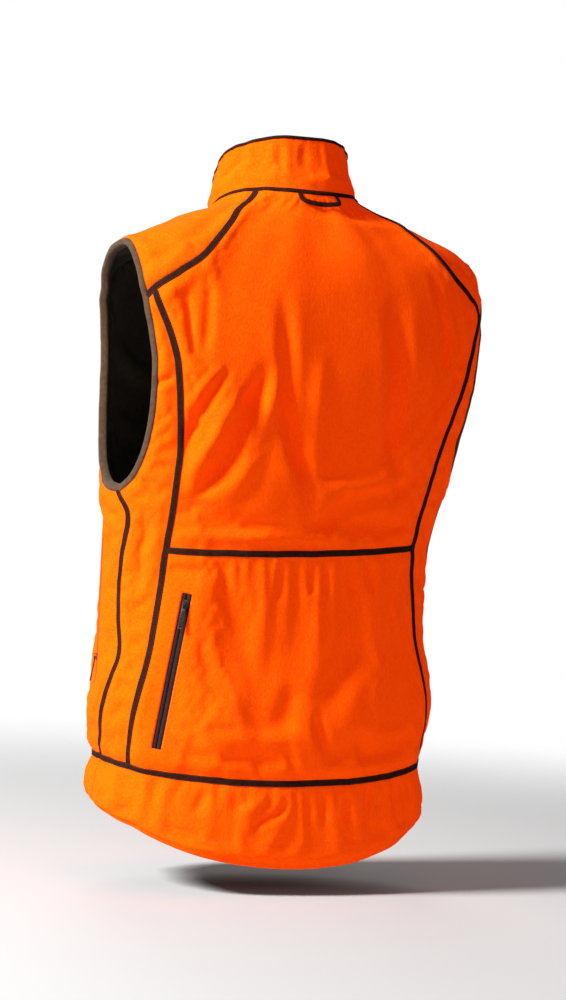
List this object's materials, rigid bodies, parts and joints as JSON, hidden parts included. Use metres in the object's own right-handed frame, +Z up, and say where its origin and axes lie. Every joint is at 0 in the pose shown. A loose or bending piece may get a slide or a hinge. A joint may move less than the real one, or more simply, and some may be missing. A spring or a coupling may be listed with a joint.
{
  "type": "hunting vest",
  "caption": "Sleeveless blaze orange fleece hunting vest with stand collar, dark seam piping, full front zip, hand pockets and one zipped back pocket.",
  "frame": {"origin": "on the wearer's neck axis, at the height of the side neck points where the collar seam crosses the shoulders", "axes": "+Z up along the wearer's body, -Y the way the wearer faces, +X the wearer's left"},
  "size_m": [0.4585, 0.2793, 0.8398],
  "materials": {
    "orange_fleece": "blaze orange bonded fleece, short nap with a soft sheen",
    "olive_lining": "dark olive knitted lining",
    "brown_tape": "dark brown woven tape sewn over the seams",
    "armhole_knit": "olive brown elastic knitted binding",
    "zip_tape": "dark brown herringbone woven zip tape",
    "zip_plastic": "dark brown moulded plastic",
    "zip_metal": "dark gunmetal enamel, worn bright at the edges"
  },
  "bodies": {
    "vest": {"back_hem_panel": "orange_fleece", "back_lining": "olive_lining", "back_pocket_bag": "olive_lining", "back_pocket_coil": "zip_plastic", "back_pocket_stops": "zip_plastic", "back_pocket_tapes": "zip_tape", "collar_lining": "olive_lining", "collar_outer": "orange_fleece", "collar_seam_piping": "brown_tape", "collar_top_binding": "brown_tape", "front_zip_guard": "olive_lining", "front_zip_pins": "zip_plastic", "front_zip_retainer_box": "zip_plastic", "front_zip_top_stops": "zip_plastic", "hanger_loop": "brown_tape", "hem_piping": "brown_tape", "left_armhole_binding": "armhole_knit", "left_back_side_panel": "orange_fleece", "left_front_hem_panel": "orange_fleece", "left_front_lining": "olive_lining", "left_front_panel": "orange_fleece", "left_front_tape": "zip_tape", "left_front_teeth": "zip_plastic", "left_hand_pocket_bag": "olive_lining", "left_hand_pocket_coil": "zip_plastic", "left_hand_pocket_stops": "zip_plastic", "left_hand_pocket_tapes": "zip_tape", "left_princess_piping": "brown_tape", "left_shoulder_panel": "orange_fleece", "left_side_piping": "brown_tape", "left_yoke_back_piping": "brown_tape", "left_yoke_front_piping": "brown_tape", "lower_back_panel": "orange_fleece", "right_armhole_binding": "armhole_knit", "right_back_side_panel": "orange_fleece", "right_front_hem_panel": "orange_fleece", "right_front_lining": "olive_lining", "right_front_panel": "orange_fleece", "right_front_tape": "zip_tape", "right_front_teeth": "zip_plastic", "right_hand_pocket_bag": "olive_lining", "right_hand_pocket_coil": "zip_plastic", "right_hand_pocket_stops": "zip_plastic", "right_hand_pocket_tapes": "zip_tape", "right_princess_piping": "brown_tape", "right_shoulder_panel": "orange_fleece", "right_side_piping": "brown_tape", "right_yoke_back_piping": "brown_tape", "right_yoke_front_piping": "brown_tape", "upper_back_panel": "orange_fleece", "waist_piping": "brown_tape"},
    "front_slider": {"front_slider": "zip_metal"},
    "front_puller": {"front_puller": "zip_metal"},
    "back_pocket_slider": {"back_pocket_slider": "zip_metal"},
    "back_pocket_puller": {"back_pocket_puller": "zip_metal"},
    "left_hand_pocket_slider": {"left_hand_pocket_slider": "zip_metal"},
    "left_hand_pocket_puller": {"left_hand_pocket_puller": "zip_metal"},
    "right_hand_pocket_slider": {"right_hand_pocket_slider": "zip_metal"},
    "right_hand_pocket_puller": {"right_hand_pocket_puller": "zip_metal"}
  },
  "joints": [
    {"name": "front_zip_slide", "type": "slide", "parent": "vest", "child": "front_slider", "axis": [0, -0.0599, -0.9982], "range_m": [0, 0.6793]},
    {"name": "front_puller_swing", "type": "hinge", "parent": "front_slider", "child": "front_puller", "pos_m": [0.00001, -0.09637, -0.00524], "axis": [-1, -0.0015, 0.0001], "range_deg": [0, 150]},
    {"name": "back_pocket_zip_slide", "type": "slide", "parent": "vest", "child": "back_pocket_slider", "axis": [0.1374, -0.0516, -0.9892], "range_m": [0, 0.1553]},
    {"name": "back_pocket_puller_swing", "type": "hinge", "parent": "back_pocket_slider", "child": "back_pocket_puller", "pos_m": [0.14639, 0.09594, -0.46259], "axis": [0.8082, -0.5716, 0.142], "range_deg": [0, 150]},
    {"name": "left_hand_pocket_zip_slide", "type": "slide", "parent": "vest", "child": "left_hand_pocket_slider", "axis": [-0.036, -0.0856, 0.9957], "range_m": [0, 0.1316]},
    {"name": "left_hand_pocket_puller_swing", "type": "hinge", "parent": "left_hand_pocket_slider", "child": "left_hand_pocket_puller", "pos_m": [0.19889, -0.02782, -0.53252], "axis": [-0.3225, -0.942, -0.0927], "range_deg": [0, 150]},
    {"name": "right_hand_pocket_zip_slide", "type": "slide", "parent": "vest", "child": "right_hand_pocket_slider", "axis": [0.0268, -0.0876, 0.9958], "range_m": [0, 0.1367]},
    {"name": "right_hand_pocket_puller_swing", "type": "hinge", "parent": "right_hand_pocket_slider", "child": "right_hand_pocket_puller", "pos_m": [-0.20495, -0.01862, -0.51889], "axis": [-0.2569, 0.9621, 0.0915], "range_deg": [0, 150]}
  ]
}
